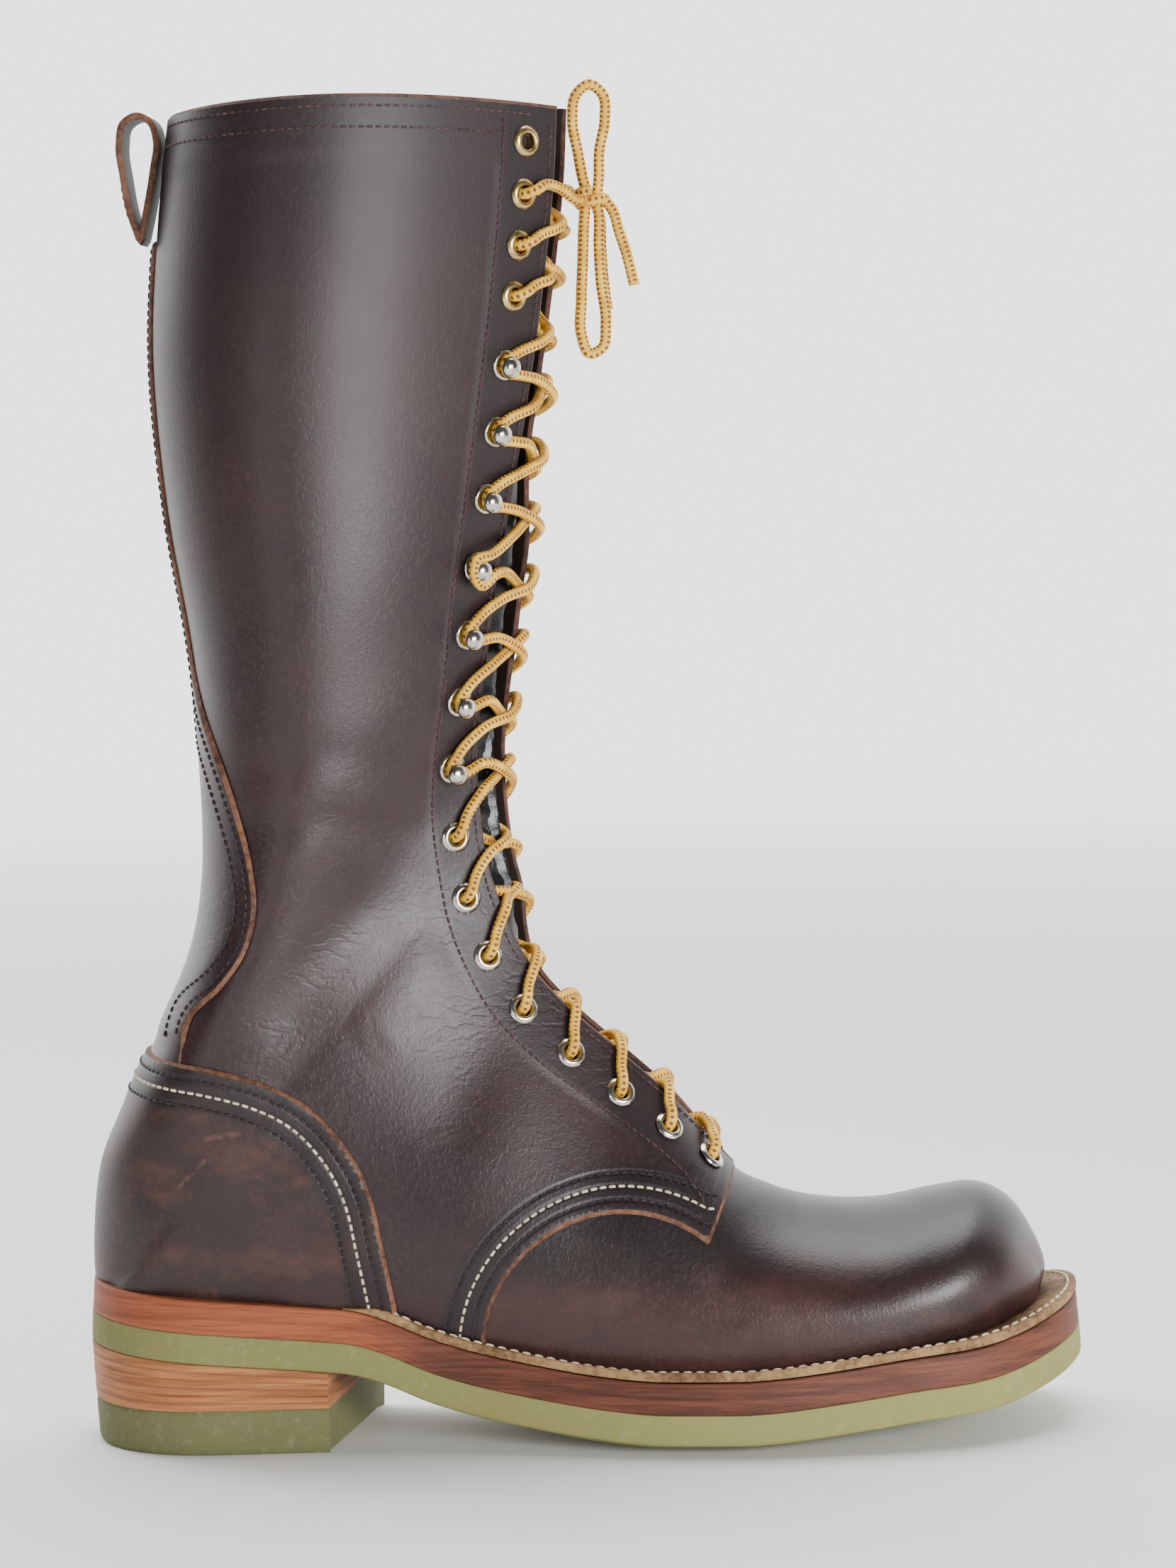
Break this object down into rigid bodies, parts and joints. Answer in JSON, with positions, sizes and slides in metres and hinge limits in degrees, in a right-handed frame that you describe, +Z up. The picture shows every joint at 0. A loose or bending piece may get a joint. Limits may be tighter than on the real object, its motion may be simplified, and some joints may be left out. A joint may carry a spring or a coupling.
{
  "type": "logger boot",
  "caption": "Tall lace-up leather logger boot for the right foot, with a stacked heel, a rubber sole, speed hooks and a pull loop.",
  "frame": {"origin": "on the floor under the middle of the heel, on the heel cap's flat underside", "axes": "+X to the toe, +Y to the inner side of the foot, +Z up along the shaft"},
  "size_m": [0.312, 0.1128, 0.4204],
  "materials": {
    "brown_leather": "oiled, soft sheen",
    "black_leather": "oiled",
    "edge_leather": "stacked, waxed edge",
    "welt_leather": "raw",
    "insole_leather": "smooth",
    "olive_rubber": "matt",
    "nickel": "worn nickel",
    "steel": "polished",
    "lace_cord": "braided"
  },
  "bodies": {
    "root": {"backstay": "brown_leather", "counter": "brown_leather", "eyelet_inner_01": "nickel", "eyelet_inner_02": "nickel", "eyelet_inner_03": "nickel", "eyelet_inner_04": "nickel", "eyelet_inner_05": "nickel", "eyelet_inner_06": "nickel", "eyelet_inner_07": "nickel", "eyelet_inner_08": "nickel", "eyelet_inner_16": "nickel", "eyelet_inner_17": "nickel", "eyelet_inner_18": "nickel", "eyelet_inner_19": "nickel", "eyelet_outer_01": "nickel", "eyelet_outer_02": "nickel", "eyelet_outer_03": "nickel", "eyelet_outer_04": "nickel", "eyelet_outer_05": "nickel", "eyelet_outer_06": "nickel", "eyelet_outer_07": "nickel", "eyelet_outer_08": "nickel", "eyelet_outer_16": "nickel", "eyelet_outer_17": "nickel", "eyelet_outer_18": "nickel", "eyelet_outer_19": "nickel", "heel_cap": "olive_rubber", "heel_lift_1": "edge_leather", "heel_lift_2": "edge_leather", "heel_lift_3": "edge_leather", "hook_inner_09": "nickel", "hook_inner_10": "nickel", "hook_inner_11": "nickel", "hook_inner_12": "nickel", "hook_inner_13": "nickel", "hook_inner_14": "nickel", "hook_inner_15": "nickel", "hook_outer_09": "nickel", "hook_outer_10": "nickel", "hook_outer_11": "nickel", "hook_outer_12": "nickel", "hook_outer_13": "nickel", "hook_outer_14": "nickel", "hook_outer_15": "nickel", "insole": "insole_leather", "lace_crossings": "lace_cord", "lace_end_inner": "lace_cord", "lace_end_outer": "lace_cord", "lace_knot": "lace_cord", "lace_loop_down": "lace_cord", "lace_loop_up": "lace_cord", "midsole": "edge_leather", "outsole": "olive_rubber", "pull_loop": "black_leather", "sole_plate": "steel", "tongue": "black_leather", "upper": "brown_leather", "welt": "welt_leather"}
  },
  "joints": []
}
